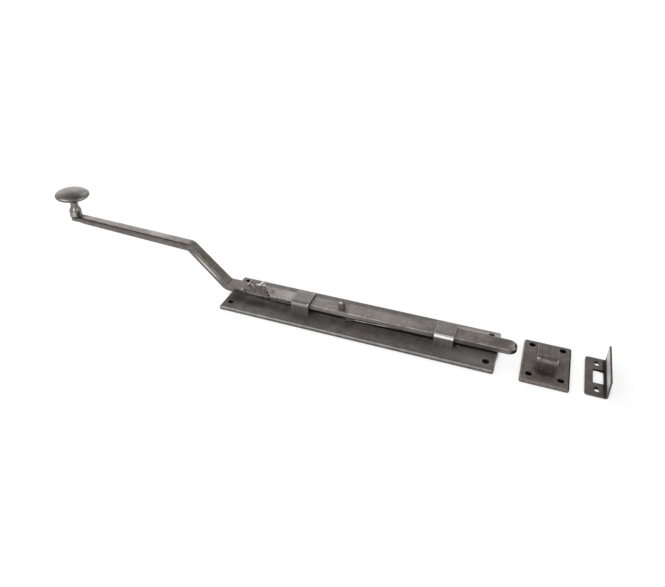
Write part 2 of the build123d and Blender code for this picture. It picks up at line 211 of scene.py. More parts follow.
def forgedSteel(name, look):
    # mild steel, drawn under the hammer, wire brushed and waxed: satin grey with brown oxide in the hollows
    material, tree = emptyMaterial(name)
    place = addNode(tree, "ShaderNodeTexCoord")
    coords = place.outputs["Object"]
    patches, grain, fleck, dents = steelNoises(tree, coords, look)
    colour = steelGround(tree, coords, look, patches, grain, fleck)
    low, high = ageing["satinSpan"]
    smoothest, roughest = look["rough"]
    satin = addNode(tree, "ShaderNodeMapRange", {1: low, 2: high, 3: smoothest, 4: roughest},
                    {0: grain}).outputs[0]
    rounded = addNode(tree, "ShaderNodeBevel", {"samples": 6, "Radius": look["edge"] * mm}).outputs[0]
    colour = wearEdges(tree, look, colour, rounded, fleck)

    ragged = addNode(tree, "ShaderNodeMapRange", {3: -0.5, 4: 0.5}, {0: fleck}).outputs[0]
    # marks paint light and shade onto the steel, besides rubs, oxide, grime and scratches
    for spot in look["marks"]:  # later marks lie over earlier ones
        mask = markMask(tree, spot, place, ragged, patches)
        colour = addNode(tree, "ShaderNodeMix", {"data_type": "RGBA", 7: linearColour(spot["colour"])},
                         {0: mask, 6: colour}).outputs[2]
        if "rough" in spot:
            satin = addNode(tree, "ShaderNodeMix", {3: spot["rough"]}, {0: mask, 2: satin}).outputs[0]

    normal = rounded
    for source, depth in ((dents, "dentDepth"), (grain, "grainDepth"), (fleck, "fleckDepth")):
        normal = addNode(tree, "ShaderNodeBump", {"Distance": look[depth] * mm, "Strength": 1},
                         {"Height": source, "Normal": normal}).outputs[0]
    shader = addNode(tree, "ShaderNodeBsdfPrincipled", {"Metallic": look["metal"]},
                     {"Base Color": colour, "Roughness": satin, "Normal": normal}).outputs[0]
    addNode(tree, "ShaderNodeOutputMaterial", {}, {"Surface": shader})
    return material


def dress(names, material):
    for name in names:
        slots = nodes[name].data.materials
        slots.clear()
        slots.append(material)


# A mark is an oval of painted light or shade, or of rub, rust or grime, round a place,
# reaching so far along X, Y and Z, turned by degrees.
# It can also be broken, rough, or only on faces within a cosine, facing, of the way that toward gives.
def mark(at, reach, colour, share, turn=(0, 0, 0), soft=0.5, ragged=0.3, **more):
    return dict(more, at=at, reach=reach, colour=colour, share=share, turn=turn, soft=soft, ragged=ragged)


def facet(toward, facing, colour, share, ragged=0, **more):  # a mark on every face that points one way
    return mark((0, 0, 0), (900, 900, 900), colour, share, soft=0.1, ragged=ragged, toward=toward,
                facing=facing, **more)


def holeMarks(holes):  # painted shade, black, in the screw holes, inside a painted highlight round each rim
    places = [(x, y) for x in holes["x"] for y in holes["y"]]
    rim, shadeReach = holes["radius"] + 2, holes["radius"] + 1.2
    rimHighlights = [mark((x, y, holes["top"]), (rim, rim, 2), "98938d", 0.5, soft=0.35, ragged=0.6)
            for x, y in places]
    # each hole painted black down its walls, as shade
    holeShade = [mark((x, y, 0), (shadeReach, shadeReach, holes["top"] + 8), "040303", 1, soft=0.12, ragged=0.05, rough=0.9)
            for x, y in places]
    return rimHighlights + holeShade


# Ways that faces point
upward = (0, 0, 1)
nearSide = (0, -1, 0)
nearEdge = (0, -0.7, 0.7)
nearFoot = (0, -0.7, -0.7)

# Places where several marks lie
plateTop = 4
strapTop = 19.7
barTop = 16.8
barMiddle = 13.6  # height of the middle of its near side
barNear = -9.5
rearStrapX = -66.7
frontStrapX = 107.3
keepX = 217.6
plateHoles = {"x": (-156.3, 156.3), "y": (-21.3, 26.5), "radius": 3.1, "top": plateTop}
keepHoles = {"x": (201.4, 233.8), "y": (-24.1, 25.7), "radius": 3.1, "top": plateTop}

# Backplate: rolled strip, brushed lengthwise and waxed. Calm mottled grey, a painted highlight on the near
# bevel.
# Patch, grain (along X, Y and Z), fleck and dent are sizes, the depths are of their relief.
plateSteel = {
    "dark": "5a5551", "light": "736e69", "oxide": "50473f", "oxideShare": 0.3, "bright": "b3aea8",
    "patch": 8, "grain": (30, 1.3, 1.3), "fleck": 1.1, "dent": 9, "streak": 0.2, "speck": 0.3,
    "metal": 0.35, "edge": 0.2, "wear": 0.5, "rough": (0.42, 0.56),
    "dentDepth": 0.12, "grainDepth": 0.06, "fleckDepth": 0.05,
    "marks": holeMarks(plateHoles) + [
        # painted highlight along the near bevel, painted shade on the faces below it
        facet(nearEdge, 0.95, "a5a09a", 0.88, broken=0.3),
        facet(nearFoot, 0.9, "2a2522", 0.6),
        # painted shade, dark beside the knuckle and black under the bar, painted light on the far strip, a
        # dark line of painted shade along the bevel
        mark((-122, -13, plateTop), (24, 11, 4), "151311", 0.65, soft=0.9, ragged=0.2),
        mark((60, -0.6, plateTop), (250, 7.2, 3), "040303", 0.97, soft=0.45, rough=0.95),
        mark((140, 23, plateTop), (80, 15, 3), "cfc9c2", 0.62, soft=0.9, ragged=0.2),
        mark((0, -32.3, plateTop), (600, 0.9, 1), "24201d", 0.5, ragged=1),
        # painted shade at the left end under the crank, painted light on the near strip at the right
        mark((-152, 0, plateTop), (16, 40, 4), "2a2725", 0.52, soft=0.9, ragged=0.2),
        mark((142, -19, plateTop), (62, 17, 4), "b5b0aa", 0.42, soft=0.9, ragged=0.2),
        # small peen marks beside the straps, painted as glints of highlight and spots of shade, and a spot of
        # painted shade where the black under the bar ends
        mark((-90.2, -10.8, plateTop), (2.2, 1.1, 2), "9b968f", 0.6),
        mark((-89.4, -12.6, plateTop), (2, 1, 2), "38332f", 0.6),
        mark((123.4, -6.4, plateTop), (2.4, 1.8, 2), "b3aea8", 0.8, ragged=0.6),
        mark((126.4, -9.4, plateTop), (2.2, 1.5, 2), "a39e98", 0.6, ragged=0.8),
        mark((-112.7, -6.1, plateTop), (2.2, 1.5, 2), "8f8a84", 0.5),
        mark((-8, -8.6, plateTop), (3, 2, 2), "24201d", 0.6),
        # painted shade beside the crank, painted light at the far right corner, and painted shade black round
        # the right near hole
        mark((-155, -9, plateTop), (14, 8, 3), "151311", 0.35, soft=0.9),
        mark((163, 23, plateTop), (8, 14, 3), "e0dbd5", 0.4, soft=0.9),
        mark((156.1, -21.3, plateTop), (4.4, 4.2, 4), "040303", 1, soft=0.15, rough=0.9),
    ],
}
dress(["backplate"], forgedSteel("plateWaxedSteel", plateSteel))

# Keep plate: the same strip, left browner and more speckled, a painted highlight on its near bevel, its right
# edge painted black as shade
keepSteel = dict(
    plateSteel, dark="625a57", light="7e756f", oxideShare=0.45, speck=0.36,
    marks=holeMarks(keepHoles) + [
        facet(nearEdge, 0.95, "8f8a84", 0.45, ragged=0.6),
        mark((243.2, 0, 3), (2.2, 90, 6), "050404", 1, soft=0.2, ragged=0.15, rough=0.95),
        # painted shadow of the staple on the plate
        mark((keepX, -19, plateTop), (14, 5, 2), "1f1a18", 0.6, ragged=1.2),
    ],
)
dress(["keep_plate"], forgedSteel("keepWaxedSteel", keepSteel))

# Straps: thin strip bent over the bar. Smoother and greyer than the plate, with painted highlights on the
# bends.
strapSteel = dict(
    plateSteel, dark="6c6865", light="7f7b77", oxideShare=0.1, grain=(1.2, 30, 30), patch=7, dent=6,
    metal=0.6, rough=(0.34, 0.46),
    marks=[
        # painted highlight along the front strap's near bend, which is also smoother, and a fainter one on
        # the rear strap's
        mark((frontStrapX, -13, 18), (14, 6, 6), "f2efeb", 1, soft=0.2, toward=nearEdge, facing=0.93,
             rough=0.3),
        mark((rearStrapX, -13, 18), (14, 6, 6), "8f8c89", 0.6, soft=0.2, toward=nearEdge, facing=0.93),
        # a painted glint on the rear strap
        mark((-56.5, -12.5, 19), (1.1, 1.6, 1.6), "f4f1ed", 0.9),
        mark((rearStrapX, 0, strapTop), (16, 13, 2), "4d4744", 0.22),
        mark((frontStrapX, 0, strapTop), (16, 13, 2), "aba6a1", 0.2),
        # painted highlights along both rounded top corners
        facet((0.7, 0, 0.7), 0.93, "d5d1cb", 0.75, ragged=0.5),
        facet((-0.7, 0, 0.7), 0.93, "aba7a2", 0.6, ragged=0.5),
    ],
)
dress(["strap_rear", "strap_front"], forgedSteel("strapWaxedSteel", strapSteel))

# Staple: strip like the straps', with more scale left on. Its near leg painted dark and speckled as shade,
# its left faces in painted shade, and painted highlights broken along the near bend and bright at its ends.
stapleSteel = dict(
    strapSteel, dark="625b57", light="7b736e", oxideShare=0.3, speck=0.38, wear=0.3, fleckDepth=0.06,
    marks=[
        mark((keepX, -16, 8), (14, 3, 9), "14100e", 0.38, soft=0.3, ragged=3.5),
        mark((keepX, -13.2, 18.8), (13, 4, 4), "a39e98", 0.3, soft=0.2, ragged=1.6, toward=nearEdge,
             facing=0.97, broken=0.7),
        mark((208.5, -13.6, 19), (2.4, 1.6, 1.2), "cdc8c2", 0.8),
        mark((228, -13, 19), (1.2, 2.4, 2), "cdc8c2", 0.75),
        mark((213.1, -15, 7), (2.6, 1, 1), "a8a39d", 0.6),
        mark((222.4, -15, 6), (1.8, 1, 1), "a8a39d", 0.6),
        facet((-1, 0, 0), 0.9, "1c1816", 0.75, rough=0.9),
    ],
)
dress(["keep_staple"], forgedSteel("stapleWaxedSteel", stapleSteel))

# Angle keep: thin sheet brushed across and waxed. Painted light on the upright leg, painted shade black in
# the fold and on cut edges.
angleSteel = dict(
    plateSteel, dark="5b5550", light="6f6863", grain=(1.2, 26, 26), patch=9,
    marks=[
        mark((269, 0, 1), (13, 27, 4), "040303", 1, soft=0.1, ragged=0, toward=(0.45, -0.9, 0), facing=0.6,
             rough=0.9),
        mark((268, -32, 2), (16, 14, 3), "37322e", 0.45, soft=0.9),
        mark((280, 0, 16), (6, 60, 13), "d2cdc6", 0.85, toward=(-1, 0, 0), facing=0.9),
        mark((277.2, 0, 3.8), (3.4, 60, 7), "0f0c0b", 0.9, soft=0.6, ragged=0.4, rough=0.9),
        mark((280.6, 0, 22.6), (1.3, 90, 1.4), "14110f", 0.95, soft=0.3, rough=0.9),
    ],
)
dress(["angle_keep"], forgedSteel("angleWaxedSteel", angleSteel))

# Bar: drawn flat stock, brushed lengthwise. Lighter and more streaked than the plate; edges worn, with a
# painted highlight.
barSteel = dict(
    plateSteel, dark="6a6561", light="86807a", oxide="5b5047", streak=0.24, dent=7, metal=0.6,
    rough=(0.34, 0.46), grainDepth=0.07,
    marks=[
        # painted light on the near side along the middle, painted shade on it by the tip
        mark((-20, barNear, barMiddle), (60, 1, 8), "c4beb8", 0.5, soft=0.9, toward=nearSide, facing=0.95),
        mark((16, barNear, barMiddle), (98, 1, 8), "b5afa9", 0.32, soft=0.4, toward=nearSide, facing=0.95),
        mark((150, barNear, barMiddle), (34, 1, 8), "4a4440", 0.4, toward=nearSide, facing=0.95),
        # painted light on two stretches of the top, a browned stretch by the tip, and a scratch across
        mark((-85, 2, barTop), (22, 12, 3), "b5afa9", 0.35, soft=0.9),
        mark((-79.8, 1, barTop), (0.9, 8, 1), "2c2723", 0.6, turn=(0, 0, -8), ragged=0.9),
        mark((50, 0, barTop), (50, 14, 3), "aba59f", 0.25, soft=0.9),
        mark((168, 0, barTop), (22, 14, 3), "51423a", 0.6, soft=0.9),
        # painted highlight along the long near edge, broken; painted shade black along the foot and under the
        # near side
        facet(nearEdge, 0.92, "c4bfb9", 0.8, broken=0.8),
        mark((0, 0, 9.6), (900, 900, 1.3), "050404", 1, soft=0.15, ragged=0.2),
        mark((28, barNear, 10.6), (30, 2, 1.7), "050404", 0.9, ragged=0.7),
        # painted shade of the knuckle on the top
        mark((-108.5, -1, barTop), (4, 8, 2), "2a2521", 0.7, soft=0.9),
        # tip: a painted highlight round its rim and on its rounded corner, the end in painted shade, black
        mark((186, 0.5, barTop), (5.6, 10, 1.3), "b5b0aa", 0.7, soft=0.2),
        mark((186.8, 0.5, barTop), (5.0, 9.4, 3), "0b0908", 0.97, soft=0.2, rough=0.9),
        mark((183, -2, 13), (9, 10, 5), "0b0908", 0.95, ragged=0.1, toward=(1, -0.3, 0), facing=0.7),
        mark((183, -2, barTop), (8, 8, 0.8), "b9b4ae", 0.8, toward=(0.6, -0.2, 0.7), facing=0.8),
    ],
)
dress(["bolt_bar"], forgedSteel("barForgedSteel", barSteel))

# Stop pin and hidden rivet: turned rod with a fine grain. A dark, speckled top with one painted highlight.
pinSteel = dict(
    barSteel, grain=(1, 1, 3), dent=3,
    marks=[
        mark((-17.4, 0, 24.1), (5, 5, 1), "241f1b", 0.6, ragged=3),
        mark((-18.4, -1.5, 24.2), (2.4, 2.2, 1.4), "d8d3cd", 0.8, ragged=0.8),
    ],
)
dress(["stop_pin", "spring_rivet"], forgedSteel("pinTurnedSteel", pinSteel))

# Leaf spring: dark tempered strip. Only its near edge shows, painted with a highlight, a broken line under
# the bar.
springSteel = dict(
    plateSteel, dark="4f4b48", light="6a6560",
    marks=[
        mark((24, 0, 9), (27, 30, 4), "fff8f0", 1, soft=0.3, toward=nearSide, facing=0.8, broken=0.4),
    ],
)
dress(["leaf_spring"], forgedSteel("springSteel", springSteel))

# Weld knuckle: peened and chiselled lump. Painted highlights on crests, painted shade in cuts, every edge
# worn bright.
knuckleSteel = dict(
    barSteel, grain=(2.5, 2.5, 2.5), dent=3, dentDepth=0.2, patch=5, wear=0.9, edge=0.35, bright="d2cdc7",
    marks=[
        # painted highlights on the crest and the valley's facets, with a dark spot of painted shade
        mark((-142, 1.5, 21.3), (1.3, 11.5, 1.5), "f0ece7", 0.95, turn=(0, 0, 1), ragged=0.4),
        mark((-129.9, 7, 18.6), (5, 3.6, 3.5), "e6e2dd", 0.95, soft=0.8, ragged=0.4),
        mark((-126.4, 9, 20.8), (2.6, 3, 3), "e4e0da", 0.8, ragged=0.6),
        mark((-138.6, 9.2, 19.8), (2.4, 2.6, 2.5), "bcb7b1", 0.6, ragged=0.6),
        mark((-120.3, 1.6, 21.8), (1.15, 1.2, 1.6), "f4f1ec", 0.9),
        mark((-118, 4.9, 19.5), (1.2, 2, 2), "e2ddd7", 0.9),
        mark((-120, 8.4, 21), (1.2, 1.6, 2), "1d1917", 0.8),
        # front end: a painted highlight beside a black line of painted shade, and spots of painted shade
        mark((-116, 2.4, 17.8), (1.3, 9, 3.4), "e6e1db", 0.9, turn=(0, 0, 36), ragged=1.2),
        mark((-114.2, 2.8, 16.9), (0.8, 8, 2), "14110f", 0.85, turn=(0, 0, 36), ragged=1.2),
        mark((-113.3, -4.1, 17), (1.6, 2, 2), "14110f", 0.9),
        mark((-110.6, -8, 15.2), (1.8, 1.6, 2.4), "1b1715", 0.85),
        # chisel cuts, painted black as shade beside painted highlights on their raised lips
        mark((-135.4, -0.3, 20), (5.6, 0.8, 3), "d9cfc9", 0.9, turn=(0, 0, -30)),
        mark((-135.2, 0.9, 20), (5.6, 0.75, 3), "1a1512", 0.95, turn=(0, 0, -30)),
        mark((-136.2, 6, 19), (5.2, 0.8, 3), "1f1a17", 0.9, turn=(0, 0, -33)),
        mark((-140.4, -9, 17.5), (1, 1.6, 3.6), "201b18", 0.8, turn=(0, 22, 0)),
        mark((-141.9, -8.6, 19), (1, 1.4, 1.6), "cfcac4", 0.8),
        # painted shade, black, under its near side, and a painted highlight line along that side
        facet(nearFoot, 0.75, "080606", 0.95, ragged=0.2),
        mark((-125, -9.8, barMiddle), (17, 1.2, 0.7), "98928d", 0.5, ragged=0.8),
    ],
)
knuckleFinish = forgedSteel("knuckleForgedSteel", knuckleSteel)
dress(["weld_knuckle"], knuckleFinish)

# Cranked arm: drawn out under the hammer. Long soft streaks, painted shade near black along the near top
# edge.
armSteel = dict(
    barSteel, grain=(18, 1.4, 1.4), dent=9, dentDepth=0.1, oxideShare=0.35,
    marks=[
        facet(nearSide, 0.93, "5b534d", 0.22),
        # painted shade, near black, along the upper run's near top edge
        mark((-310, 0, 62), (98, 30, 30), "120b08", 0.97, soft=0.1, ragged=0.1, toward=nearEdge, facing=0.78),
        # slope: brown oxide on top and on the near side
        mark((-196, 0, 36), (32, 30, 32), "4c3f35", 0.35, soft=0.3, ragged=0.6, toward=(0.69, 0, 0.72),
             facing=0.95),
        mark((-196, 0, 36), (36, 30, 34), "4d453f", 0.25, toward=nearSide, facing=0.93),
        # upper run: painted light on top near the bend, painted shade further on
        mark((-268, 2, 66), (24, 12, 8), "b0aaa3", 0.3, soft=0.9, toward=upward, facing=0.8),
        mark((-316, 2, 68), (20, 12, 8), "5a534d", 0.25, soft=0.9, toward=upward, facing=0.8),
        # slope again: a broken painted highlight along its near top edge, with a bright painted line beside
        # it
        mark((-196, 0, 36), (31, 30, 31), "c9c2ba", 0.5, soft=0.3, ragged=1.4, toward=(0.49, -0.7, 0.51),
             facing=0.84, broken=0.6),
        mark((-195, -7, 37.6), (28, 2.5, 1.9), "e6dfd7", 0.75, turn=(0, 43.8, 0), ragged=1.3),
        # painted shade round the neck's foot
        mark((-392, -6, 70.2), (10, 2.6, 1.3), "120e0c", 0.9, ragged=0.4),
        mark((-383, 3, 71.3), (6, 7, 2), "1f1a17", 0.7, soft=0.7, ragged=0.5),
        # flat end by the knuckle: brown top, painted shade black at its foot, chisel marks painted as a
        # highlight and shade
        mark((-157, 0, 16.4), (17, 30, 5), "4b4640", 0.45, soft=0.4, toward=upward, facing=0.9),
        mark((-157, 0, 9.6), (16, 30, 2), "080606", 0.9, soft=0.4),
        mark((-146.6, -8.2, 16.4), (1.8, 1.6, 2), "bdb8b2", 0.7),
        mark((-147.6, -9.4, 12.8), (1.4, 1, 1.8), "14110f", 0.9),
        mark((-154, -9.3, barMiddle), (6.5, 1.6, 1.9), "1d1815", 0.68, ragged=1),
        # a dark spot short of the neck
        mark((-378.7, -6, 67.3), (2.4, 1.2, 1.1), "2a2420", 0.8),
    ],
)
armFinish = forgedSteel("armForgedSteel", armSteel)
dress(["crank_arm"], armFinish)

# Neck: turned, then filed. Glossier than the rest, painted highlights on two tapered facets and lower down,
# painted shade black in the grooves above and below.
neckSteel = dict(
    barSteel, grain=(1.4, 1.4, 9), dent=5, metal=0.75, rough=(0.25, 0.38), streak=0.3,
    marks=[
        mark((-392, -6.4, 82.4), (1.5, 3, 3.6), "e8e5e0", 0.95, ragged=0.4),
        mark((-388.4, -2.8, 82.2), (1.6, 1.6, 3), "e8e5e0", 0.9, ragged=0.4),
        mark((-392.3, -6.6, 75.5), (3, 2.4, 4.5), "c2beb5", 0.75, ragged=0.4),
        mark((-390.8, -6.8, 72.4), (7, 3, 1), "a9a49e", 0.7, ragged=0.4),
        mark((-390.8, -2, 70.6), (10, 10, 1.1), "1a1613", 0.85),
        mark((-388, -3, 92.6), (6, 8, 3), "1d1a18", 0.8),
    ],
)
neckFinish = forgedSteel("neckForgedSteel", neckSteel)
dress(["knob_neck"], neckFinish)

# Knob: raised and planished. Soft even satin, painted shade in the middle and painted light at the right, a
# brown bloom at the left, scale at the right, and a painted highlight on the rim above the underside, painted
# black as shade.
knobSteel = dict(
    barSteel, dark="6a6763", light="7d7a75", grain=(2.5, 2.5, 2.5), dent=6, dentDepth=0.15,
    oxideShare=0.15, rough=(0.42, 0.52),
    marks=[
        mark((-386, -8, 107.4), (14, 9, 4), "4a443e", 0.45, soft=0.9),
        mark((-375, 1, 105.1), (6, 10, 3), "c9c3bd", 0.4, soft=0.8),
        mark((-397, -15.5, 105.2), (6, 6, 3.6), "75543f", 0.5, soft=0.9, ragged=0.4),
        mark((-380, -10, 105), (9, 6, 3), "3f342e", 0.3, ragged=2),
        mark((-391, -19, 102.5), (9, 5, 0.55), "e2ddd7", 0.6, ragged=0.9),
        mark((-373.5, -7, 102), (5, 9, 1), "c4bfb9", 0.85, ragged=1.8),
        mark((-394.3, 0, 99.7), (40, 40, 2), "060404", 0.97, turn=(1.5, 0.3, 0), soft=0.15, ragged=0.15,
             rough=0.9),
    ],
)
knobFinish = forgedSteel("knobForgedSteel", knobSteel)
dress(["knob"], knobFinish)
print("materials made")


def pickVertices(obj, test):  # leaves obj in edit mode with only the vertices that pass the test selected
    bpy.ops.object.mode_set(mode="EDIT")
    bpy.ops.mesh.select_mode(type="VERT")
    bpy.ops.mesh.select_all(action="DESELECT")
    bpy.ops.object.mode_set(mode="OBJECT")
    for vertex in obj.data.vertices:
        vertex.select = test(vertex)
    bpy.ops.object.mode_set(mode="EDIT")


def editAll():
    bpy.ops.object.mode_set(mode="EDIT")
    bpy.ops.mesh.select_all(action="SELECT")


def turnNormalsOut():
    editAll()
    bpy.ops.mesh.normals_make_consistent(inside=False)
    bpy.ops.object.mode_set(mode="OBJECT")


def cutThrough(point, across):
    editAll()
    bpy.ops.mesh.bisect(plane_co=[part * mm for part in point], plane_no=across)


def addModifier(obj, kind, settings):
    modifier = obj.modifiers.new(kind.lower(), kind)
    for key, value in settings.items():
        setattr(modifier, key, value)
    bpy.ops.object.modifier_apply(modifier=modifier.name)


def refine(obj, levels):  # more faces on the same shape
    addModifier(obj, "SUBSURF", {"subdivision_type": "SIMPLE", "levels": levels, "render_levels": levels})


def hammer(obj, size, depth):  # shallow uneven dents, as left by a planishing hammer
    dents = bpy.data.textures.new(obj.name + "Dents", "CLOUDS")
    dents.noise_scale = size * mm
    dents.noise_depth = 1
    addModifier(obj, "DISPLACE", {"texture": dents, "texture_coords": "LOCAL", "strength": depth * mm,
                                  "mid_level": 0.5})


def settle(obj, name, replaced, finish, smooth):  # smooth shades over edges flatter than so many degrees
    bpy.ops.object.mode_set(mode="OBJECT")
    bpy.ops.object.transform_apply(location=True, rotation=True, scale=True)
    bpy.ops.object.shade_smooth_by_angle(angle=radians(smooth))
    # flats stay flat between rounded edges
    addModifier(obj, "WEIGHTED_NORMAL", {"weight": 90, "keep_sharp": True})
    obj.name = name
    obj.data.name = name
    obj.data.materials.clear()
    obj.data.materials.append(finish)
    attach(obj, "bolt")
    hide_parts(replaced)
    bpy.ops.object.select_all(action="DESELECT")
    print("made", name, len(obj.data.polygons), "faces")


# Cranked arm: drawn straight as a tapering bar, then bent twice, as a smith makes it
crank = {
    "start": -143.8,
    "height": 13.3,  # of the bar's middle
    "turn": 43.8,  # degrees of the first bend
    "tilt": 2.3,  # degrees that the upper run still rises
    "shoulder": 27.7,  # from the start to the first corner
    "rise": 46.4,  # from the first corner up to the second
    "reach": 175.6,  # from the second corner to the middle of the round end
    "bendRadius": (9.5, 9.5),
    # distance along the bar, width, thickness
    "sections": [(0, 18.4, 5.8), (14, 18.4, 7.4), (27.7, 15.6, 9.2), (40, 14.2, 9.6), (94, 12.6, 10.0),
                 (270, 10.8, 8.2)],
    "step": 2.4,  # from one ring of vertices to the next
    "endRadius": 7.0,
    "endRings": (0, 20, 40, 58, 72),  # degrees round the end
    "endTip": 0.12,  # least share of the width
    "swellRun": 5,  # over this last stretch the bar widens to the round end
    "swellSlope": 0.4,
    "endRun": 16,  # over this last stretch it is thinned from below, by so much
    "endRise": 1.6,
    "uneven": 0.08,  # most that a width or thickness strays
    "seed": 11,
    "edge": 1.1,  # width of a rounded edge
    "sharp": 50,  # degrees: only edges sharper than this are rounded
    "dent": 9,
    "dentDepth": 0.14,
    "smooth": 35,
}


def bendPlaces(facts):  # along the straight bar: each bend's beginning, arc and angle, then the end's middle
    turn, tilt = radians(facts["turn"]), radians(facts["tilt"])
    incline = facts["rise"] / sin(turn)
    bends, shift = [], 0
    corner = facts["shoulder"]
    for angle, radius in zip((turn, tilt - turn), facts["bendRadius"]):
        tangent, arc = radius * tan(abs(angle) / 2), radius * abs(angle)
        bends.append((corner - tangent - shift, arc, angle))
        shift += 2 * tangent - arc
        corner += incline
    return bends, facts["shoulder"] + incline + facts["reach"] - shift


def sectionAt(facts, along):
    table = facts["sections"]
    for (s0, w0, t0), (s1, w1, t1) in zip(table, table[1:]):
        if along <= s1:
            share = (along - s0) / (s1 - s0)
            return w0 + (w1 - w0) * share, t0 + (t1 - t0) * share
    return table[-1][1:]


def endedSection(facts, along, endCentre):  # the section, widened to the round end and closed over it
    width, thick = sectionAt(facts, along)
    radius = facts["endRadius"]
    if along > endCentre:
        width *= max(sqrt(max(1 - ((along - endCentre) / radius) ** 2, 0)), facts["endTip"])
        width *= 2 * radius / sectionAt(facts, along)[0]
    elif along > endCentre - facts["swellRun"]:
        width = max(width, 2 * radius - (endCentre - along) * facts["swellSlope"])
    return width, thick


def armBlank(facts, length, cuts):  # a straight bar, 1 by 1, cut into rings
    bpy.ops.mesh.primitive_cube_add(size=1, location=(0, 0, facts["height"] * mm))
    arm = bpy.context.object
    arm.dimensions = (length * mm, mm, mm)
    bpy.ops.object.transform_apply(location=False, rotation=False, scale=True)
    arm.location.x = (facts["start"] - length / 2) * mm
    bpy.ops.object.transform_apply(location=True, rotation=False, scale=False)
    for cut in cuts:
        cutThrough((facts["start"] - cut, 0, 0), (1, 0, 0))
    bpy.ops.object.mode_set(mode="OBJECT")
    return arm


def drawOut(arm, facts, rings, endCentre, straight):  # gives each ring its own width and thickness
    uneven = random.Random(facts["seed"])
    for along in rings:
        width, thick = endedSection(facts, along, endCentre)
        width += uneven.uniform(-1, 1) * facts["uneven"]
        thick += uneven.uniform(-1, 1) * facts["uneven"]
        pickVertices(arm, lambda vertex: abs(straight[vertex.index] - along) < touch)
        middle = ((facts["start"] - along) * mm, 0, facts["height"] * mm)
        bpy.ops.transform.resize(value=(1, width, thick), center_override=middle)
        bpy.ops.object.mode_set(mode="OBJECT")
        thinned = (along - endCentre) / facts["endRun"] + 1
        if thinned > 0:
            pickVertices(arm, lambda vertex: (abs(straight[vertex.index] - along) < touch
                                              and vertex.co.z < middle[2]))
            bpy.ops.transform.translate(value=(0, 0, facts["endRise"] * min(thinned, 1) * mm))
            bpy.ops.object.mode_set(mode="OBJECT")


def bendArm(arm, facts, rings, bend, straight):
    begin, arc, angle = bend
    inside = [ring for ring in rings if begin - touch <= ring <= begin + arc + touch]
    for ring in reversed(inside):
        centre = Vector(((facts["start"] - ring) * mm, 0, facts["height"] * mm))
        pickVertices(arm, lambda vertex: straight[vertex.index] > ring + touch)
        bpy.ops.transform.rotate(value=-angle / len(inside), orient_axis="Y", center_override=centre)
        bpy.ops.object.mode_set(mode="OBJECT")


def drawArm(facts):
    bends, endCentre = bendPlaces(facts)
    length = endCentre + facts["endRadius"]
    cuts = [facts["step"] * i for i in range(1, int(endCentre / facts["step"]))]
    cuts += [endCentre + facts["endRadius"] * sin(radians(angle)) for angle in facts["endRings"]]
    arm = armBlank(facts, length, cuts)
    # each vertex keeps its distance along the straight bar, by which it is found after bending
    straight = [(facts["start"] * mm - vertex.co.x) / mm for vertex in arm.data.vertices]
    drawOut(arm, facts, [0] + cuts + [length], endCentre, straight)
    for bend in reversed(bends):  # the far bend first, so that each turn is made on a straight run
        bendArm(arm, facts, [0] + cuts, bend, straight)
    turnNormalsOut()
    addModifier(arm, "BEVEL", {"width": facts["edge"] * mm, "segments": 3, "limit_method": "ANGLE",
                               "angle_limit": radians(facts["sharp"]), "use_clamp_overlap": False})
    refine(arm, 1)
    hammer(arm, facts["dent"], facts["dentDepth"])
    settle(arm, "crankedArm", "crank_arm", armFinish, facts["smooth"])


drawArm(crank)

# Weld knuckle: chiselled lump over the scarf between bar and crank
knuckle = {
    "start": -143.8,
    "nearEnd": -107.3,
    "farEnd": -121.5,
    "half": 9.8,  # half its width
    "foot": (10.4, 12.4),  # height of its underside, in the middle and at both sides
    "rows": (-9.8, -6.6, -3, 0.8, 5, 9.8),
    # share of the length at the near and the far side, then the top's height at each row
    "columns": [
        (0.0, 0.0, (14.0, 16.3, 16.4, 16.4, 16.4, 16.4)),
        (0.08, 0.08, (15.3, 20.9, 21.2, 21.2, 21.2, 21.4)),
        (0.2, 0.22, (14.0, 16.6, 18.6, 20.2, 19.4, 19.4)),
        (0.4, 0.56, (14.1, 16.3, 18.5, 20.3, 17.6, 16.9)),
        (0.6, 0.8, (14.3, 16.5, 18.8, 21.0, 21.6, 22.0)),
        (0.76, 0.93, (14.5, 16.8, 19.2, 22.0, 22.3, 22.6)),
        (0.93, 0.98, (14.6, 16.6, 18.0, 18.6, 18.4, 18.2)),
        (1.0, 1.0, (14.6, 16.6, 16.9, 16.9, 16.9, 16.9)),
    ],
    "edge": 0.35,
    "sharp": 12,
    "dent": 2.6,
    "dentDepth": 0.3,
    "smooth": 25,
}


def knuckleBlank(rows, columns, half):  # a block 2 high, cut 1 apart for the columns, and at each row
    bpy.ops.mesh.primitive_cube_add(size=1, location=(0, 0, 0))
    lump = bpy.context.object
    editAll()
    bpy.ops.transform.resize(value=((len(columns) - 1) * mm, 2 * half * mm, 2 * mm))
    bpy.ops.transform.translate(value=((len(columns) - 1) / 2 * mm, 0, 0))
    for cut in range(1, len(columns) - 1):
        cutThrough((cut, 0, 0), (1, 0, 0))
    for cut in rows[1:-1]:
        cutThrough((0, cut, 0), (0, 1, 0))
    bpy.ops.object.mode_set(mode="OBJECT")
    return lump


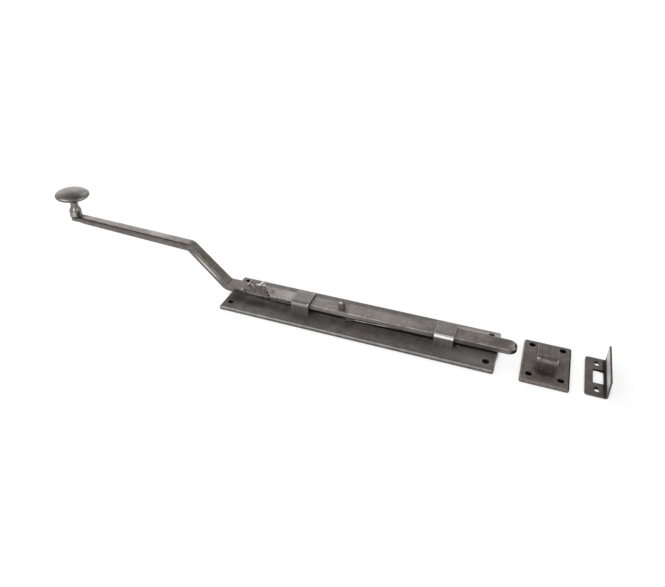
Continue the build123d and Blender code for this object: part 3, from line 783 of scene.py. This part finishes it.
def chiselKnuckle(facts):
    rows, columns, half = facts["rows"], facts["columns"], facts["half"]
    lump = knuckleBlank(rows, columns, half)
    grid = [tuple(vertex.co / mm) for vertex in lump.data.vertices]

    def moveVertex(spot, x, z):  # from its column, row and level in the block
        pickVertices(lump, lambda vertex: all(abs(a - b) < touch for a, b in zip(grid[vertex.index], spot)))
        bpy.ops.transform.translate(value=((x - spot[0]) * mm, 0, (z - spot[2]) * mm))
        bpy.ops.object.mode_set(mode="OBJECT")

    for index, (near, far, heights) in enumerate(columns):
        for row, height in zip(rows, heights):
            side = (row + half) / (2 * half)
            length = facts["nearEnd"] + (facts["farEnd"] - facts["nearEnd"]) * side - facts["start"]
            x = facts["start"] + length * (near + (far - near) * side)
            middleFoot, sideFoot = facts["foot"]
            moveVertex((index, row, -1), x, sideFoot if row in (rows[0], rows[-1]) else middleFoot)
            moveVertex((index, row, 1), x, height)
    editAll()
    bpy.ops.mesh.quads_convert_to_tris(quad_method="SHORTEST_DIAGONAL")
    turnNormalsOut()
    addModifier(lump, "BEVEL", {"width": facts["edge"] * mm, "segments": 2, "limit_method": "ANGLE",
                                "angle_limit": radians(facts["sharp"])})
    refine(lump, 2)
    hammer(lump, facts["dent"], facts["dentDepth"])
    settle(lump, "weldKnuckle", "weld_knuckle", knuckleFinish, facts["smooth"])


chiselKnuckle(knuckle)


def turnProfile(sides, profile):  # a round bar turned to a profile of radius and height pairs
    firstRadius, firstHeight = profile[0]
    bpy.ops.mesh.primitive_circle_add(vertices=sides, radius=firstRadius * mm, fill_type="NGON",
                                      location=(0, 0, 0))
    turned = bpy.context.object
    editAll()
    bpy.ops.transform.translate(value=(0, 0, firstHeight * mm))
    for (lastRadius, lastHeight), (radius, height) in zip(profile, profile[1:]):
        bpy.ops.mesh.extrude_region_move(TRANSFORM_OT_translate={"value": (0, 0, (height - lastHeight) * mm)})
        bpy.ops.transform.resize(value=(radius / lastRadius, radius / lastRadius, 1),
                                 center_override=(0, 0, height * mm))
    turnNormalsOut()
    return turned


# Neck: turned, its lower block filed to eight sides
neck = {
    "foot": (-395.3, 0, 70.85),
    "lean": 2.3,  # degrees about Y
    "sides": 32,
    "profile": [(6.6, -0.6), (7.8, 0), (7.8, 1.2), (7.1, 1.8), (7.1, 4.5), (7.0, 8), (6.1, 10.8), (5.1, 13.4),
                (4.8, 15.5), (4.9, 19), (5.2, 21.8), (6.2, 24), (7.2, 25.6), (6.6, 26.3)],
    "block": (1.6, 12),  # heights between which it is filed
    "flats": 8,
    "corner": 1.075,  # times the turned radius
    "beside": 1.018,  # the same, for the vertices next to the corners
    "smooth": 30,
}


def turnNeck(facts):
    piece = turnProfile(facts["sides"], facts["profile"])
    low, high = facts["block"]
    perFlat = facts["sides"] // facts["flats"]

    def pastCorner(vertex):  # how many vertices it stands past a corner of the filed block
        return round(degrees(atan2(vertex.co.y, vertex.co.x)) / (360 / facts["sides"])) % perFlat

    for steps, factor in (((0,), facts["corner"]), ((1, perFlat - 1), facts["beside"])):
        pickVertices(piece, lambda vertex: low * mm < vertex.co.z < high * mm and pastCorner(vertex) in steps)
        bpy.ops.transform.resize(value=(factor, factor, 1), center_override=(0, 0, 0))
        bpy.ops.object.mode_set(mode="OBJECT")
    refine(piece, 1)
    piece.rotation_euler.y = radians(facts["lean"])
    piece.location = Vector(facts["foot"]) * mm
    settle(piece, "knobNeck", "knob_neck", neckFinish, facts["smooth"])


turnNeck(neck)

# Knob: oval dome with a thin worn rim over a flatter underside
knob = {
    "seat": (-394.27, 0, 96.53),
    "lean": (1.5, 0.3),  # degrees about X and Y
    "half": (22.95, 19.7),  # half its length and width
    "sides": 64,
    # radius and height up to the rim, before it is made oval
    "under": [(7.0, 0), (12, 0.9), (17, 2.2), (19.2, 3.2), (19.9, 4.2), (20, 5.1)],
    "top": 12.0,
    "rings": (0.985, 0.95, 0.9, 0.83, 0.74, 0.63, 0.5, 0.36, 0.22, 0.1, 0.01),  # shares of the radius
    "fullness": 0.6,  # 0.5 would make the dome an ellipse, 1 a parabola
    "dent": 7,
    "dentDepth": 0.35,
    "smooth": 30,
}


def raiseKnob(facts):
    radius, rim = facts["under"][-1]
    dome = [(radius * ring, rim + (facts["top"] - rim) * (1 - ring ** 2) ** facts["fullness"])
            for ring in facts["rings"]]
    piece = turnProfile(facts["sides"], facts["under"] + dome)
    editAll()
    halfLength, halfWidth = facts["half"]
    bpy.ops.transform.resize(value=(halfLength / radius, halfWidth / radius, 1), center_override=(0, 0, 0))
    bpy.ops.object.mode_set(mode="OBJECT")
    refine(piece, 1)
    hammer(piece, facts["dent"], facts["dentDepth"])
    piece.rotation_euler.x, piece.rotation_euler.y = (radians(angle) for angle in facts["lean"])
    piece.location = Vector(facts["seat"]) * mm
    settle(piece, "ovalKnob", "knob", knobFinish, facts["smooth"])


raiseKnob(knob)

# Studio: a pale paper floor, a soft surround that is lightest at the horizon, and two broad soft lights
studio = {
    "floorSize": 30,  # metres
    "floorDrop": 0.0003,  # metres below the backs of the plates
    "paper": "fbfbfb",
    "glow": 0.79,  # share of the paper's white that the object's shadow doesn't reach
    "shadowed": "969696",
    "covered": "101010",
    "underPlate": 12,  # reach of the dark under the plates and in their screw holes
    "bareSpan": (0.38, 0.6),  # open sky over the paper, from covered to bare
    "horizon": "fdfdfd",
    "ceiling": "6c6c6e",
    "surround": 1.0,
    "ceilingRise": (0.42, 0.95),  # sines of the elevations between which the surround darkens
}


def floorPaper(facts):
    # matt white card: lights the object as card does, but looks near white, with only a soft shadow on it;
    # painted shade turns it dark under the plates and in their screw holes
    paper, tree = emptyMaterial("floorPaper")
    path = addNode(tree, "ShaderNodeLightPath")
    looked = addNode(tree, "ShaderNodeMath", {"operation": "MAXIMUM"},
                     {0: path.outputs["Is Camera Ray"], 1: path.outputs["Is Glossy Ray"]}).outputs[0]
    looked = addNode(tree, "ShaderNodeMath", {"operation": "MAXIMUM"},
                     {0: looked, 1: path.outputs["Is Transmission Ray"]}).outputs[0]
    lit = addNode(tree, "ShaderNodeBsdfDiffuse", {"Color": linearColour(facts["paper"])}).outputs[0]
    shaded = addNode(tree, "ShaderNodeBsdfDiffuse", {"Color": linearColour(facts["shadowed"])}).outputs[0]
    glow = addNode(tree, "ShaderNodeEmission", {"Strength": facts["glow"]}).outputs[0]
    white = addNode(tree, "ShaderNodeAddShader", {}, {0: glow, 1: shaded}).outputs[0]
    # painted shade: where the paper is covered, under the plates and in their screw holes, it turns dark
    dark = addNode(tree, "ShaderNodeBsdfDiffuse", {"Color": linearColour(facts["covered"])}).outputs[0]
    sky = addNode(tree, "ShaderNodeAmbientOcclusion",
                  {"samples": 8, "Distance": facts["underPlate"] * mm}).outputs["AO"]
    low, high = facts["bareSpan"]
    bare = addNode(tree, "ShaderNodeMapRange", {1: low, 2: high}, {0: sky}).outputs[0]
    white = addNode(tree, "ShaderNodeMixShader", {}, {0: bare, 1: dark, 2: white}).outputs[0]
    sheet = addNode(tree, "ShaderNodeMixShader", {}, {0: looked, 1: lit, 2: white}).outputs[0]
    addNode(tree, "ShaderNodeOutputMaterial", {}, {"Surface": sheet})
    return paper


def surroundFloor(facts):
    world = bpy.data.worlds.new("studioSurround")
    bpy.context.scene.world = world
    world.use_nodes = True
    tree = world.node_tree
    tree.nodes.clear()
    around = addNode(tree, "ShaderNodeTexCoord").outputs["Generated"]
    height = addNode(tree, "ShaderNodeSeparateXYZ", {}, {0: around}).outputs["Z"]
    low, high = facts["ceilingRise"]
    rise = addNode(tree, "ShaderNodeMapRange", {"interpolation_type": "SMOOTHSTEP", 1: low, 2: high},
                   {0: height}).outputs[0]
    surround = addNode(tree, "ShaderNodeMix",
                       {"data_type": "RGBA", 6: linearColour(facts["horizon"]),
                        7: linearColour(facts["ceiling"])},
                       {0: rise}).outputs[2]
    light = addNode(tree, "ShaderNodeBackground", {"Strength": facts["surround"]},
                    {"Color": surround}).outputs[0]
    addNode(tree, "ShaderNodeOutputWorld", {}, {"Surface": light})


bpy.ops.mesh.primitive_plane_add(size=studio["floorSize"], location=(0, 0, -studio["floorDrop"]))
floor = bpy.context.object
floor.name = "floor"
floor.data.materials.append(floorPaper(studio))
surroundFloor(studio)

# Where each light stands, in degrees from +Y towards +X and above the floor, and how many degrees it spans
softLights = {
    "backLeftLight": {"azimuth": -44, "elevation": 20, "spread": 55, "strength": 1.1},
    "frontLeftLight": {"azimuth": 215, "elevation": 34, "spread": 38, "strength": 0.8},
}
for name, lamp in softLights.items():
    around, above = radians(lamp["azimuth"]), radians(lamp["elevation"])
    source = Vector((sin(around) * cos(above), cos(around) * cos(above), sin(above)))
    bpy.ops.object.light_add(type="SUN", location=source)
    sun = bpy.context.object
    sun.name = name
    sun.data.angle = radians(lamp["spread"])
    sun.data.energy = lamp["strength"]
    sun.rotation_euler = source.to_track_quat("Z", "Y").to_euler()
print("studio lit")
